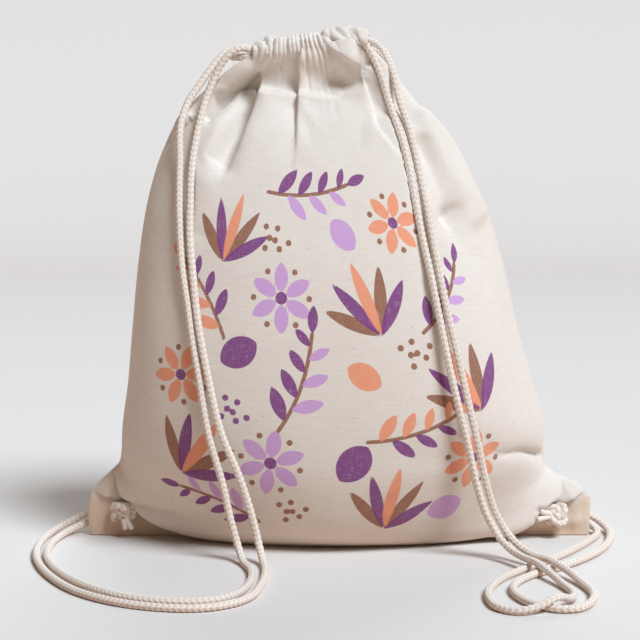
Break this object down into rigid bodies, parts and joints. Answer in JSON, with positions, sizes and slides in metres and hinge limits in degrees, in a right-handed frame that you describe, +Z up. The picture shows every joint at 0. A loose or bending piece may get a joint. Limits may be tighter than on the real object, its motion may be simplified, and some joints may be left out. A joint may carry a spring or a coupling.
{
  "type": "drawstring gym bag",
  "caption": "Filled cotton drawstring bag with a gathered mouth, draw cords that run down the front as shoulder straps, and knotted bottom corners.",
  "frame": {"origin": "centre of the bag's box, without its cords, on the floor that it stands on", "axes": "+Z up, front towards -Y, +X to the right of a viewer in front"},
  "size_m": [0.4187, 0.2989, 0.3716],
  "materials": {
    "cotton_cloth": "unbleached plain-weave cotton with a coloured print on the front",
    "cotton_cord": "braided natural cotton cord"
  },
  "bodies": {
    "root": {"front_panel": "cotton_cloth", "back_panel": "cotton_cloth", "front_casing": "cotton_cloth", "back_casing": "cotton_cloth", "left_cord_front_strand": "cotton_cord", "left_cord_back_strand": "cotton_cord", "left_cord_in_casing": "cotton_cord", "right_cord_front_strand": "cotton_cord", "right_cord_back_strand": "cotton_cord", "right_cord_in_casing": "cotton_cord", "left_knot": "cotton_cord", "right_knot": "cotton_cord"}
  },
  "joints": []
}
